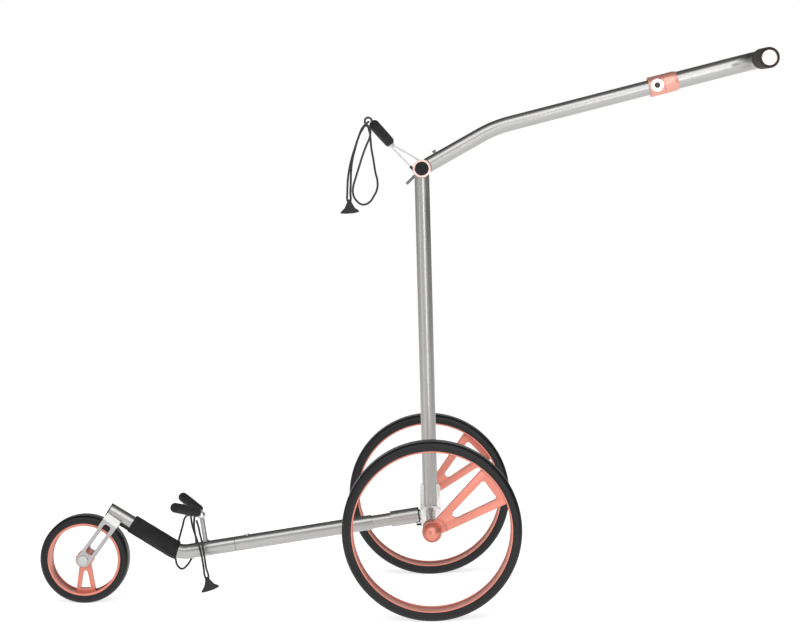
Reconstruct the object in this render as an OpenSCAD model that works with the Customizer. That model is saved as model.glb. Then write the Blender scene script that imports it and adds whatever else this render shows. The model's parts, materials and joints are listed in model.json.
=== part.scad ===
// Three-wheel golf push cart with a single-shaft frame, one-armed wheels and two bag cradles.
// Millimetres. X runs from the front wheel to the handle, Y across the cart, Z up.
// The ground is Z = 0 and the origin lies below the middle of the cart. The left side is -Y.

/* [Frame] */
// Height of the handle joint above the rear axle
upright_len = 588; // [480:4:710]
// Lean of the upright tube towards the front, in degrees
upright_lean = 0.3; // [0:0.1:2]
// Length of the lower tube from the rear axle to its bend
lower_len = 438; // [360:2:530]
// Length of the upturned front leg
front_leg = 142; // [130:1:175]
// Angle of the bend in the lower tube, in degrees
leg_angle = 40.6; // [36:0.2:46]
// Outside diameter of the frame tubes
tube_d = 25.4; // [21.2:0.1:28]
// Wall thickness of the frame tubes
tube_wall = 1.6; // [1.2:0.1:2.4]

/* [Wheels] */
// Distance between the centre planes of the rear wheels
track = 480; // [400:10:580]
// Diameter of the rear wheels
rear_wheel_d = 292; // [244:4:352]
// Width of the rear tyres
rear_tyre_w = 52; // [44:1:60]
// Diameter of the front wheel
front_wheel_d = 152; // [128:2:182]
// Width of the front tyre
front_tyre_w = 44; // [36:1:44]
// Thickness of the tyres
tyre_depth = 12.5; // [10:0.5:15]

/* [Handle] */
// Rise of the lower part of the handle above the horizontal, in degrees
handle_rise = 28.3; // [18:0.1:45]
// Angle of the bend in the handle, in degrees
handle_bend = 15.1; // [5:0.1:25]
// Distance from the joint to the bend
handle_first = 143; // [110:1:175]
// Distance from the bend to the clamp collar
handle_second = 272; // [220:1:330]
// Distance from the clamp collar to the middle of the grip
grip_reach = 191; // [170:1:230]
// Droop of the grip from level, in degrees
grip_droop = 2; // [0:0.5:10]
// Length of the grip sleeve
grip_len = 74; // [60:1:100]
// Outside diameter of the grip tube
grip_tube_d = 29.6; // [29.6:0.1:31]

/* [Bag cradles] */
// Half the spread of the cradle arms
cradle_half = 70; // [58:1:84]
// Height of the lower cradle above its tube
post_h = 62; // [52:1:74]
// Diameter of the cradle pads
pad_d = 17; // [14:0.5:18]
// Diameter of the elastic cords
cord_d = 3.6; // [3:0.1:4]

/* [Hidden] */
$fn = 64;
// Running clearance of a shaft in its bore, and the gap between moving faces
run = 0.05;
gap = 0.3;
tube_r = tube_d / 2;
bore_d = tube_d - 2 * tube_wall;

axle_z = rear_wheel_d / 2;
front_r = front_wheel_d / 2;
// Depth of the lower tube's axis below the rear axle
lower_drop = 4;
bend_r = 45;
// Height of the catch pin from the rear axle
catch_z = -22;
// How far straight tube laps into a bend, and how much thinner the bend is
bend_lap = 1;
bend_thin = 0.1;
handle_bend_r = 200;

// Lower frame, in its own frame: origin at the rear axle, -x along the tube to the front
bend_x = -lower_len;
end_x = bend_x - front_leg * cos(leg_angle);
end_z = front_leg * sin(leg_angle);
// Way from the tube's end to the front axle
fork_reach = front_r + 17.6;
fork_aim = 54;
front_x = end_x - fork_reach * cos(fork_aim);
front_z = end_z - fork_reach * sin(fork_aim);
lower_angle = asin((axle_z - lower_drop - front_r) / norm([front_x, front_z])) + atan2(front_z, -front_x);
// Angle of the fork legs, and their length up to the saddle
leg_aim = 45;
saddle_x = front_r + 2.6;
// Stations along the lower tube
seam_x = bend_x + 97;
post_x = bend_x + 47;
main_end_x = -102;
neck_end_x = -69;
socket_end_x = -21.5;
sleeve_start = 45;

// Handle, from the joint at the top of the upright
joint_x = -upright_len * tan(upright_lean);
joint_z = axle_z + upright_len;
joint_r = 15.4;
knuckle_r = joint_r - gap;
cheek_in = 7.2;
cheek_out = 20;
handle_top = handle_rise - handle_bend;
knee = [handle_first * cos(handle_rise), handle_first * sin(handle_rise)];
shaft_in = 80;
collar_d = 34;
grip_bend_r = 50;
grip_sleeve_d = 35;

// Rear wheels
rear_r = axle_z;
rim_r = rear_r - tyre_depth;
rim_wall = 4;
rim_in = rim_r - rim_wall;
spoke_out = rear_tyre_w / 2 - 4;
spoke_t = 12;
hub_r = 15;
axle_d = 12;
beam_d = 16;
// Foot of the upright, just above the axle beam
foot_z = beam_d / 2 + gap;
ball_r = 15.7;
bearing_d = 24;
bearing_w = 6;
hub_in = -rear_tyre_w / 2 + 2;
// Direction of each rear wheel's arm, seen from its own outer side
left_arm = 35;
right_arm = 43;

// Front wheel
front_rim_r = front_r - tyre_depth;
front_rim_in = front_rim_r - rim_wall;
front_hub_w = 48;
leg_in = front_hub_w / 2 + 0.8;
leg_t = 5;
front_axle_d = 8;

// Cradles
upper_root = [-50, 20, 42];
upper_tip = [-78, cradle_half, 74];
lower_root = [post_x - 1, 9, post_h + 2];
lower_tip = [post_x - 34, cradle_half, post_h + 24];
wire_d = 2.2;

// The cart's middle lies over the origin
front_world_x = front_x * cos(lower_angle) - front_z * sin(lower_angle);
grip_along = handle_second + grip_reach;
grip_world_x = joint_x + knee[0] + grip_along * cos(handle_top);
shift_x = -(front_world_x - front_r + grip_world_x + grip_sleeve_d / 2) / 2;

// Upper cord: steps in x, y and z from the left arm's end, out round the loop and down to the hook
upper_route = [
  [3, -4, 0], [3, -3, 5], [-1, -2, 8], [-6, -2, 7], [-8, -3, 2], [-6, -4, -3], [-1, -6, -7], [1, -8, -14],
  [0, -9, -24],
  [-7, -7, -40], [-14, -6, -58], [-20, -5, -76], [-26, -5, -94], [-30, -5, -108], [-30, -5, -120],
  [-25, -5, -130], [-15, -5, -137], [-4, -5, -134], [4, -5, -124], [10, -5, -112], [11, -5, -98],
  [8, -5, -84], [5, -4, -62], [2, -3, -43], [1, -1, -29], [-1, 1, -14], [-6, 4, -5], [-13, 6, -12],
  [-20, 6, -26], [-25, 6, -42], [-30, 6, -60], [-33, 6, -80], [-34, 6, -100], [-35, 6, -118],
  [-35, 5, -130], [-37, 2, -135], [-40, -1, -130], [-40, 0, -116], [-39, 1, -98], [-36, 1, -78],
  [-31, 1, -58], [-25, 0, -40], [-18, 0, -21], [-12, 1, -8], [-6, 1, -2], [-1, 0, 2]
];
// Lower cord: places in x and z on the lower frame measured from the post, and y across the cart
lower_route = [
  [-13, 24, 60], [-17, 26, 48], [-19, 26, 34], [-19, 25, 20], [-20, 24, 8], [-25, 23, -6],
  [-34, 22, -19], [-43, 21, -28], [-51, 20, -31], [-57, 20, -25], [-59, 21, -14], [-57, 22, 0],
  [-51, 23, 13], [-45, 24, 27], [-38, 24, 42], [-32, 22, 55], [-25, 14, 60], [-19, 2, 60],
  [-17, -12, 58], [-16, -23, 50], [-14, -28, 36], [-11, -29, 20], [-9, -28, 4], [-8, -28, -12],
  [-8, -28, -28], [-8, -28, -44], [-5, -29, -50], [-2, -31, -45], [-3, -33, -30], [-3, -33, -14],
  [-3, -33, 2], [-3, -33, 16], [-4, -33, 30], [-5, -30, 43], [-7, -26, 54]
];

// ---- placing ----

module cart() translate([shift_x, 0, 0]) children();
module at_axle() cart() translate([0, 0, axle_z]) children();
module lower() cart() translate([0, 0, axle_z - lower_drop]) rotate([0, -lower_angle, 0]) children();
module at_fork() lower() translate([front_x, 0, front_z]) children();
module at_front_axle() cart() translate([front_world_x, 0, front_r]) children();
module at_joint() cart() translate([joint_x, 0, joint_z]) children();
module upright() at_axle() rotate([0, -upright_lean, 0]) children();
// x runs up the handle from the bend, before or after it
module handle_low() at_joint() rotate([0, -handle_rise, 0]) children();
module handle_high() at_joint() translate([knee[0], 0, knee[1]]) rotate([0, -handle_top, 0]) children();
module grip() handle_high() rotate([grip_droop, 0, 0]) children();
// Left and right pair
module both() {
  children();
  mirror([0, 1, 0]) children();
}

// ---- shapes ----

// Round bar from point a to point b
module bar(a, b, d) {
  v = b - a;
  len = norm(v);
  translate(a)
    rotate([0, acos(v[2] / len), atan2(v[1], v[0])])
      cylinder(d = d, h = len);
}

// Round bar across the cart between y0 and y1
module cross(d, y0, y1) translate([0, y1, 0]) rotate([90, 0, 0]) cylinder(d = d, h = y1 - y0);

// Plate standing in the X-Z plane between y0 and y1
module plate(y0, y1) translate([0, y1, 0]) rotate([90, 0, 0]) linear_extrude(y1 - y0) children();

// Ring about the Y axis from a profile of radius and width
module ring_y() rotate([90, 0, 0]) rotate_extrude($fn = 128) children();

// Bar along two legs p0-p1-p2 in the X-Z plane with a bend of radius r at p1.
// The straight legs run 1 mm into the bend, which is a hair thinner, as a drawn tube is.
module bent_bar(p0, p1, p2, r, d) {
  u1 = (p1 - p0) / norm(p1 - p0);
  u2 = (p2 - p1) / norm(p2 - p1);
  a1 = atan2(u1[1], u1[0]);
  turn = asin(u1[0] * u2[1] - u1[1] * u2[0]);
  t = r * tan(abs(turn) / 2);
  s = p1 - t * u1;
  e = p1 + t * u2;
  side = sign(turn);
  c = s + side * r * [-u1[1], u1[0]];
  s1 = s + bend_lap * u1;
  e1 = e - bend_lap * u2;
  bar([p0[0], 0, p0[1]], [s1[0], 0, s1[1]], d);
  translate([c[0], 0, c[1]])
    rotate([90, 0, 0])
      rotate([0, 0, a1 - side * 90 + min(turn, 0)])
        rotate_extrude(angle = abs(turn))
          translate([r, 0])
            circle(d = d - bend_thin);
  bar([e1[0], 0, e1[1]], [p2[0], 0, p2[1]], d);
}

function arc(c, r, a0, a1, n = 6) =
  [for (i = [0:n]) c + r * [cos(a0 + (a1 - a0) * i / n), sin(a0 + (a1 - a0) * i / n)]];

// Places its children with +z running from point a to point b
module along(a, b) {
  v = b - a;
  translate(a) rotate([0, acos(v[2] / norm(v)), atan2(v[1], v[0])]) children();
}

// Sleeve-shaped tube along +z
module pipe(od, id, h) {
  difference() {
    cylinder(d = od, h = h);
    translate([0, 0, -1]) cylinder(d = id, h = h + 2);
  }
}

// ---- wheels ----

module tyre_profile(r, w, depth, round) {
  translate([r - depth, -w / 2]) square([depth - round, w]);
  translate([r - round - 0.01, -w / 2 + round]) square([round + 0.01, w - 2 * round]);
  for (s = [-1, 1])
    translate([r - round, s * (w / 2 - round)]) circle(r = round);
}

module tyre(r, w) ring_y() tyre_profile(r, w, tyre_depth, 6);

// Rim band with a small lip at each edge
module rim_profile(r, w) {
  translate([r - rim_wall, -w / 2 + 1]) square([rim_wall, w - 2]);
  for (s = [-1, 1])
    translate([r - rim_wall - 1.2, s * (w / 2 - 2.5) - 1.5]) square([2, 3]);
}

// V-shaped arm from the hub to the rim along +x, half a plate with its opening
module arm_outline(reach, root, flare, tip, foot) {
  polygon(concat(
    [[0, -root], [reach - foot, -tip]],
    arc([reach - foot, -tip - foot], foot, 90, 30, 4),
    [[reach + 2, -tip - foot], [reach + 2, tip + foot]],
    arc([reach - foot, tip + foot], foot, -30, -90, 4),
    [[0, root]]
  ));
  circle(r = flare);
}

module arm_opening(x0, h0, x1, h1, c) {
  lean = atan2(h1 - h0, x1 - x0);
  polygon(concat(
    arc([x0 + h0, 0], h0, 90 + lean, 270 - lean, 8),
    arc([x1 - c, -h1 + c], c, 270 - lean, 360, 5),
    arc([x1 - c, h1 - c], c, 0, 90 + lean, 5)
  ));
}

// Rear rim about its own centre, seen from its outer side: the outer side is -y
module rear_rim(aim) {
  difference() {
    union() {
      ring_y() rim_profile(rim_r, rear_tyre_w);
      rotate([0, -aim, 0]) {
        plate(-spoke_out, -spoke_out + spoke_t)
          difference() {
            intersection() {
              arm_outline(rim_in, 9.3, hub_r + 1, 33.5, 9);
              circle(r = rim_in + 1, $fn = 128);
            }
            arm_opening(42, 6, rim_in - 13, 18, 4);
          }
        // Raised rib where the arm leaves the hub
        plate(-spoke_out - 1.5, -spoke_out)
          intersection() {
            arm_outline(rim_in, 9.3, hub_r + 1, 33.5, 9);
            difference() {
              circle(r = 25.5);
              circle(r = 22.5);
            }
          }
      }
      cross(2 * hub_r, -spoke_out + 2, -hub_in);
    }
    cross(bearing_d, -spoke_out - 3, -spoke_out + bearing_w);
    cross(bearing_d, -hub_in - bearing_w, -hub_in + 1);
    cross(axle_d + 4, -spoke_out - 3, -hub_in + 1);
  }
}

module left_wheel() at_axle() translate([0, -track / 2, 0]) children();
module right_wheel() at_axle() translate([0, track / 2, 0]) rotate([0, 0, 180]) children();

module bearing(y0) {
  difference() {
    cross(bearing_d, y0, y0 + bearing_w);
    cross(axle_d + 2 * run, y0 - 1, y0 + bearing_w + 1);
  }
}

module wheel_bearings() {
  bearing(-spoke_out);
  bearing(-hub_in - bearing_w);
}

// Ball-shaped hub cap, seated flat on the outer bearing
module hub_ball() ring_y() intersection() {
  translate([0, spoke_out + 11]) circle(r = ball_r);
  translate([0, spoke_out]) square([ball_r + 1, 2 * ball_r]);
}

module left_tyre() color("#1c1c1e") left_wheel() tyre(rear_r, rear_tyre_w);
module left_rim() color("#d98c78") left_wheel() rear_rim(left_arm);
module left_bearings() color("#b9bcc0") left_wheel() wheel_bearings();
module left_hub_ball() color("#d98c78") left_wheel() hub_ball();
module right_tyre() color("#1c1c1e") right_wheel() tyre(rear_r, rear_tyre_w);
module right_rim() color("#d98c78") right_wheel() rear_rim(180 - right_arm);
module right_bearings() color("#b9bcc0") right_wheel() wheel_bearings();
module right_hub_ball() color("#d98c78") right_wheel() hub_ball();

// Front wheel with its arm pointing straight down
module front_rim() color("#d98c78") at_front_axle() {
  difference() {
    union() {
      ring_y() rim_profile(front_rim_r, front_tyre_w);
      rotate([0, 90, 0])
        plate(-6, 6)
          difference() {
            intersection() {
              arm_outline(front_rim_in, 10, 14, 16, 7);
              circle(r = front_rim_in + 1, $fn = 128);
            }
            arm_opening(21, 4, front_rim_in - 8.5, 8.5, 1.5);
          }
      cross(28, -front_hub_w / 2, front_hub_w / 2);
    }
    cross(22, -front_hub_w / 2 - 1, -front_hub_w / 2 + 7);
    cross(22, front_hub_w / 2 - 7, front_hub_w / 2 + 1);
    cross(12, -30, 30);
  }
}

module front_tyre() color("#1c1c1e") at_front_axle() tyre(front_r, front_tyre_w);

module front_bearings() color("#b9bcc0") at_front_axle() {
  both() {
    difference() {
      cross(22, front_hub_w / 2 - 7, front_hub_w / 2);
      cross(front_axle_d + 2 * run, 0, 40);
    }
  }
}

// Shoulder bolt with a wide flat head, and its nut
module front_axle_bolt() color("#c6c8cb") at_front_axle() {
  cross(front_axle_d, -leg_in - leg_t, leg_in + leg_t + 6);
  cross(16.6, -leg_in - leg_t - 3.2, -leg_in - leg_t);
}

module front_axle_nut() color("#c6c8cb") at_front_axle() {
  difference() {
    cross(14, leg_in + leg_t, leg_in + leg_t + 6);
    cross(front_axle_d, 0, 60);
  }
}

// ---- fork ----

// Slotted leg from the axle eye up to the saddle, along +x
module leg_outline() {
  difference() {
    union() {
      circle(r = 12);
      polygon([[0, -12], [saddle_x - 22, -11.5], [saddle_x - 16, -14], [saddle_x, -14],
        [saddle_x, 14], [saddle_x - 16, 14], [saddle_x - 22, 11.5], [0, 12]]);
    }
    polygon([[17, -6.5], [saddle_x - 8, -6.5], [saddle_x - 5, -4], [saddle_x - 5, 4],
      [saddle_x - 8, 6.5], [17, 6.5], [14, 4], [14, -4]]);
    circle(d = front_axle_d);
  }
}

module fork_leg(y0) at_fork() rotate([0, -leg_aim, 0]) plate(y0, y0 + leg_t) leg_outline();
module fork_leg_left() color("#a9abad") fork_leg(-leg_in - leg_t);
module fork_leg_right() color("#a9abad") fork_leg(leg_in);

// Saddle that joins both legs round the underside of the tube
module fork_saddle() color("#d5d6d7") {
  difference() {
    at_fork() rotate([0, -leg_aim, 0])
      translate([saddle_x, -leg_in - leg_t, -14]) cube([13, 2 * (leg_in + leg_t), 28]);
    front_line() translate([0, 0, -60]) cylinder(d = tube_d, h = 120);
  }
}

// z runs down the front leg from the tube's open end towards the bend
module front_line() lower() translate([end_x, 0, end_z]) rotate([0, 90 + leg_angle, 0]) children();

// Rubber strip between the saddle and the foam sleeve
module fork_shim() color("#19191a") front_line() {
  intersection() {
    translate([0, 0, 28.4]) pipe(tube_d + 3.4, tube_d, sleeve_start - 28.4);
    translate([0, -8, 20]) cube([30, 16, 40]);
  }
}

// ---- lower frame ----

module lower_line(x0, x1, d) bar([x0, 0, 0], [x1, 0, 0], d);

// Bent front tube, with a reduced spigot that plugs into the lower tube
module front_tube() color("#aaaaa6") lower() {
  difference() {
    union() {
      bent_bar([seam_x - gap, 0], [bend_x, 0], [end_x, end_z], bend_r, tube_d);
      lower_line(seam_x - gap, seam_x + 62, bore_d - 2 * run);
    }
    bent_bar([seam_x - 30, 0], [bend_x, 0],
      [end_x - 2 * cos(leg_angle), end_z + 2 * sin(leg_angle)], bend_r, bore_d);
    lower_line(seam_x - 31, seam_x + 63, bore_d - 4);
    translate([seam_x + 22, 0, 0]) cylinder(d = 8.2, h = 20);
  }
}

module front_tube_plug() color("#19191a") front_line() {
  translate([0, 0, -1.6]) cylinder(d = tube_d, h = 1.6);
  cylinder(d = bore_d, h = 12);
}

// Foam sleeve over the front leg, ending half way round the bend
module foam_sleeve() color("#1f1f21") lower() {
  t = bend_r * tan(leg_angle / 2);
  top = [end_x, end_z] + sleeve_start * [cos(leg_angle), -sin(leg_angle)];
  difference() {
    bent_bar([bend_x + 2 * t, 0], [bend_x, 0], top, bend_r, 32);
    bent_bar([bend_x + 3 * t, 0], [bend_x, 0], [end_x, end_z], bend_r, tube_d);
    translate([bend_x + t, 0, bend_r])
      rotate([0, 90 + leg_angle * 0.75, 0])
        translate([0, -40, 0]) cube([200, 80, 200]);
  }
}

// Main lower tube between the seam and the neck
module lower_tube() color("#aaaaa6") lower() {
  difference() {
    lower_line(seam_x, main_end_x, tube_d);
    lower_line(seam_x - 1, main_end_x + 1, bore_d);
    translate([seam_x + 22, 0, 0]) cylinder(d = 8.2, h = 20);
  }
}

// Spring button that locks the front tube in the lower tube
module snap_button() color("#8e8f90") lower() translate([seam_x + 22, 0, 0]) {
  translate([0, 0, 5]) cylinder(d = 8, h = tube_r - 5 + 1.4);
  translate([0, 0, 3.8]) cylinder(d = 11, h = 2);
}

// Coil spring under the button
module snap_spring() color("#9a9a98") lower() translate([seam_x + 22, 0, 0]) {
  floor_z = -(bore_d - 4) / 2 + 1.2;
  turns = 5;
  cord([for (i = [0:12 * turns]) [3 * cos(30 * i), 3 * sin(30 * i),
    floor_z + (3.4 - floor_z) * i / (12 * turns)]], 0.8);
}

// Thinner neck between the lower tube and the hub socket
module neck_tube() color("#a3a3a0") lower() {
  difference() {
    lower_line(main_end_x - 40, neck_end_x + 20, bore_d);
    lower_line(main_end_x - 41, neck_end_x + 21, bore_d - 3);
  }
}

module hub_socket() color("#a3a3a0") lower() {
  difference() {
    lower_line(neck_end_x, socket_end_x, tube_d + 1.6);
    lower_line(neck_end_x - 1, neck_end_x + 20, bore_d);
    lower_line(neck_end_x + 19, socket_end_x + 1, 18 + 2 * run);
  }
}

// Black ring at the mouth of the socket
module socket_ring() color("#19191a") lower() {
  difference() {
    lower_line(socket_end_x, socket_end_x + 2, tube_d + 1.2);
    lower_line(socket_end_x - 1, socket_end_x + 3, 18 + 2 * run);
  }
}

// Lower cradle: post, V-shaped arms and pads
module cradle_post() color("#b4b4b1") lower() {
  difference() {
    translate([post_x, 0, 0]) cylinder(d = 8, h = post_h);
    lower_line(post_x - 20, post_x + 20, tube_d);
  }
  translate([post_x, 0, tube_r]) {
    difference() {
      cylinder(d = 13, h = 1.4);
      translate([0, 0, -1]) cylinder(d = 8, h = 4);
    }
  }
}

module lower_arms() color("#b4b4b1") lower() {
  difference() {
    union() {
      both() {
        bar(lower_root, lower_tip, 7);
        translate(lower_root) sphere(d = 7);
      }
      translate([lower_root[0], 0, lower_root[2]]) cross(7, -lower_root[1], lower_root[1]);
      translate([post_x, 0, post_h - 4]) sphere(d = 14);
      valley_tongue();
    }
    translate([post_x, 0, -1]) cylinder(d = 8, h = post_h + 1);
  }
}

// Flat tongue in the valley of the cradle
module valley_tongue() {
  translate([post_x, 0, post_h + 1])
    rotate([0, 33, 0])
      translate([-34, -6, -1.5]) cube([34, 12, 3]);
}

// Foam pad with a rounded outer end, bored for its arm
module pad(a, b, d, arm_d) {
  len = norm(b - a);
  along(a, b)
    rotate_extrude()
      difference() {
        union() {
          square([d / 2, len]);
          intersection() {
            translate([0, len]) circle(d = d);
            translate([0, len]) square(d);
          }
        }
        translate([-1, -1]) square([arm_d / 2 + 1, len + 1]);
      }
}

module lower_pads() color("#1f1f21") lower()
  both() pad(lower_root + 0.1 * (lower_tip - lower_root), lower_tip, pad_d, 7);

// ---- hub ----

// Upright plate and axle housing
module hub_bracket() color("#dcdddd") at_axle() {
  difference() {
    union() {
      plate(-7, 7) polygon([[-17.5, -10], [-17.5, 42], [-14, 46], [14, 46], [17.5, 42], [17.5, -10],
        [9, -17], [-9, -17]]);
      plate(-16, 16) polygon([[-17.5, -9], [-17.5, 3], [-11, 9], [11, 9], [17.5, 3], [17.5, -9],
        [9, -17], [-9, -17]]);
      both() plate(5.3, 9)
        polygon([[-16.5, -8], [-16.5, -23], [-15, -25], [-9, -25], [-7.5, -23], [-7.5, -8]]);
    }
    cross(beam_d, -20, 20);
    translate([-12, 0, catch_z]) cross(3, -10, 10);
    rotate([0, -upright_lean, 0]) translate([0, 0, foot_z]) cylinder(d = tube_d, h = 60);
    translate([0, 0, -lower_drop]) rotate([0, -lower_angle, 0]) bar([-40, 0, 0], [-9, 0, 0], 14);
  }
}

// Spigot that the hub socket plugs on to
module spigot() color("#b4b4b1") lower() {
  difference() {
    union() {
      bar([socket_end_x - 24, 0, 0], [socket_end_x + 4, 0, 0], 18);
      bar([socket_end_x, 0, 0], [-9, 0, 0], 14);
    }
    at_axle_inverse() cross(beam_d, -40, 40);
    bar([socket_end_x - 30, 0, 0], [socket_end_x + 2, 0, 0], 9);
  }
}

module at_axle_inverse() rotate([0, lower_angle, 0]) translate([0, 0, lower_drop]) children();

// Release catch below the socket, on a small pin
module catch() color("#19191a") at_axle() {
  difference() {
    plate(-5, 5) polygon([[-25, -24.8], [-12, -25.4], [-4, -24.8], [-4, -22.4], [-13, -19.3],
      [-15.5, -19.3], [-18, -22.2], [-25, -22.8]]);
    translate([-12, 0, catch_z]) cross(3 + 2 * run, -8, 8);
  }
}

module catch_pin() color("#b9bcc0") at_axle() translate([-12, 0, catch_z]) cross(3, -9, 9);

module axle_beam() color("#b9bcc0") at_axle() {
  cross(beam_d, -track / 2 + (-hub_in) + 2, track / 2 + hub_in - 2);
  cross(axle_d, -track / 2 - spoke_out + 1, track / 2 + spoke_out - 1);
}

// ---- upright and joint ----

module upright_tube() color("#aaaaa6") {
  difference() {
    upright() translate([0, 0, foot_z]) pipe(tube_d, bore_d, upright_len - foot_z);
    at_joint() cross(2 * joint_r, -40, 40);
  }
}

module joint_cheek(y0, y1) {
  difference() {
    cross(2 * joint_r, y0, y1);
    cross(8, -60, 60);
  }
}

// Left cheek with a pocket for the bolt head and the cap
module joint_cheek_left() color("#e0a090") at_joint() {
  difference() {
    joint_cheek(-cheek_out, -cheek_in);
    cross(23, -cheek_out - 1, -cheek_out + 8);
  }
}

module joint_cheek_right() color("#e0a090") at_joint() joint_cheek(cheek_in, cheek_out);

module joint_bolt() color("#b9bcc0") at_joint() {
  cross(8, -cheek_out + 8, 33);
  cross(13, -cheek_out + 4, -cheek_out + 8);
}

module joint_cap() color("#19191a") at_joint() {
  difference() {
    cross(23, -cheek_out - 0.6, -cheek_out + 8);
    cross(13, -cheek_out + 4, 0);
    for (a = [90, 210, 330])
      rotate([0, a, 0]) translate([6, 0, 0]) cross(3, -cheek_out - 1, -cheek_out + 1);
  }
}

// Clamping ring with its lever on the right side
module joint_lever() color("#7c7d7c") at_joint() {
  difference() {
    union() {
      cross(26, cheek_out + gap, cheek_out + 7);
      translate([0, cheek_out + 4, 0]) bar([-8, 0, -7.6], [-26.4, 0, -25.3], 5);
    }
    cross(8 + 2 * run, 10, 40);
  }
}

module joint_nut() color("#b9bcc0") at_joint() {
  difference() {
    cross(13, cheek_out + 7.2, cheek_out + 13);
    cross(8, 20, 40);
  }
}

// ---- handle ----

module handle_knuckle() color("#c9c4be") at_joint() {
  difference() {
    union() {
      cross(2 * knuckle_r, -cheek_in + 0.2, cheek_in - 0.2);
      rotate([0, -handle_rise, 0]) intersection() {
        bar([0, 0, 0], [40, 0, 0], bore_d);
        union() {
          translate([0, -cheek_in + 0.8, -20]) cube([60, 2 * cheek_in - 1.6, 40]);
          translate([joint_r + 2, -20, -20]) cube([60, 40, 40]);
        }
      }
    }
    cross(8 + 2 * run, -40, 40);
  }
}

// Bent handle tube, its root cut to clear the cheeks
module handle_shaft() color("#aaaaa6") {
  tail = knee + (handle_second + shaft_in) * [cos(handle_top), sin(handle_top)];
  at_joint() difference() {
    bent_bar([0, 0], knee, tail, handle_bend_r, tube_d);
    bent_bar(-[cos(handle_rise), sin(handle_rise)], knee,
      tail + 5 * [cos(handle_top), sin(handle_top)], handle_bend_r, bore_d);
    cross(2 * joint_r + 0.8, -40, 40);
    rotate([0, 14, 0]) translate([-5, -20, -40]) cube([30, 40, 40]);
    translate([-40, -20, -40]) cube([40, 40, 60]);
    rotate([0, -handle_rise, 0]) translate([33, 0, 0]) cylinder(d = 5, h = 20);
  }
}

// Stop stud on top of the handle near the joint
module stop_stud() color("#8e8f90") handle_low_stud() {
  translate([0, 0, bore_d / 2]) cylinder(d = 5, h = tube_wall + 4);
  translate([0, 0, tube_r + 2.6]) cylinder(d = 7, h = 2);
}

module handle_low_stud() handle_low() translate([33, 0, 0]) children();

// Clamp collar with a boss for its button, and the ring nut behind it
module collar() color("#d98c78") handle_high() {
  difference() {
    union() {
      bar([handle_second, 0, 0], [handle_second + 26, 0, 0], collar_d);
      translate([handle_second + 13, 0, 0]) cross(22, -collar_d / 2 - 2, 0);
    }
    bar([handle_second - 1, 0, 0], [handle_second + 30, 0, 0], tube_d + 2 * run);
    translate([handle_second + 13, 0, 0]) cross(9.6, -40, 0);
    bar([handle_second + 20, 0, 0], [handle_second + 40, 0, 0], grip_tube_d + 2 * run);
  }
}

module collar_nut() color("#d98c78") handle_high() {
  difference() {
    translate([handle_second + 26 + gap, 0, 0]) rotate([0, 90, 0]) {
      cylinder(d = collar_d, h = 18);
      translate([0, 0, 18]) cylinder(d1 = collar_d, d2 = grip_tube_d + 1, h = 6);
    }
    bar([handle_second, 0, 0], [handle_second + 60, 0, 0], grip_tube_d + 2 * run);
  }
}

module collar_button() color("#19191a") handle_high() translate([handle_second + 13, 0, 0])
  cross(9.5, -collar_d / 2 - 2.4, -tube_r - 2.8);

// Grip tube: straight over the shaft, then a quarter bend to the left
module grip_run(d, over) {
  straight = grip_reach - grip_bend_r;
  bar([21 - over, 0, 0], [straight, 0, 0], d);
  translate([straight, -grip_bend_r, 0])
    rotate_extrude(angle = 90) translate([grip_bend_r, 0]) circle(d = d);
  translate([grip_reach, -grip_bend_r, 0])
    rotate([90, 0, 0]) cylinder(d = d, h = grip_len + over);
}

module grip_tube() color("#aaaaa6") grip() translate([handle_second, 0, 0]) {
  difference() {
    grip_run(grip_tube_d, 0);
    grip_run(tube_d + 2 * run, 1);
  }
}

module at_grip() grip() translate([handle_second + grip_reach, -grip_bend_r, 0]) rotate([90, 0, 0]) children();

module grip_sleeve() color("#2a2627") at_grip() {
  difference() {
    union() {
      cylinder(d = grip_sleeve_d, h = grip_len);
      translate([0, 0, grip_len]) cylinder(d1 = grip_sleeve_d, d2 = grip_sleeve_d - 3, h = 2);
    }
    translate([0, 0, -1]) cylinder(d = grip_tube_d, h = grip_len + 1);
    translate([0, 0, grip_len - 1]) cylinder(d = 26, h = 10);
  }
}

module grip_cap() color("#e6d6d0") at_grip() {
  translate([0, 0, grip_len]) cylinder(d = 26, h = 3);
  translate([0, 0, grip_len + 3]) cylinder(d1 = 26, d2 = 22, h = 1.5);
  translate([0, 0, grip_len - 12]) cylinder(d = tube_d + 2 * run, h = 12);
}

// ---- upper cradle ----

module upper_wires() color("#c3c4c4") at_joint() {
  both() {
    difference() {
      bar([-2, 16, joint_r - 2], upper_root, wire_d);
      cross(2 * joint_r, -40, 40);
    }
    difference() {
      bar([-joint_r + 2, 16, -2], upper_root + [-1.5, 0, -3], wire_d);
      cross(2 * joint_r, -40, 40);
      bar([-joint_r + 2, 16, -2], stay_end(9), wire_d + 4);
    }
    bar(upper_root, upper_tip, 5);
    translate(upper_root) sphere(d = 7);
  }
}

function stay_end(s) =
  [-joint_r + 2, 16, -2]
  + s * (upper_root + [-1.5, 0, -3] - [-joint_r + 2, 16, -2]) / norm(upper_root - [-joint_r + 2, 16, 0]);

// Black ends of the two lower wires
module stay_ends() color("#19191a") at_joint() both() {
  difference() {
    bar([-joint_r + 2, 16, -2], stay_end(9), 4.6);
    cross(2 * joint_r, -40, 40);
  }
}

module wire_ferrules() color("#c3c4c4") at_joint() both() {
  difference() {
    bar(upper_root + 0.06 * (upper_tip - upper_root), upper_root + 0.14 * (upper_tip - upper_root), 10);
    bar(upper_root, upper_tip, 5);
    translate(upper_root) sphere(d = 7);
  }
}

module upper_pads() color("#1f1f21") at_joint()
  both() pad(upper_root + 0.14 * (upper_tip - upper_root), upper_tip, pad_d, 5);

// ---- cords ----

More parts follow.
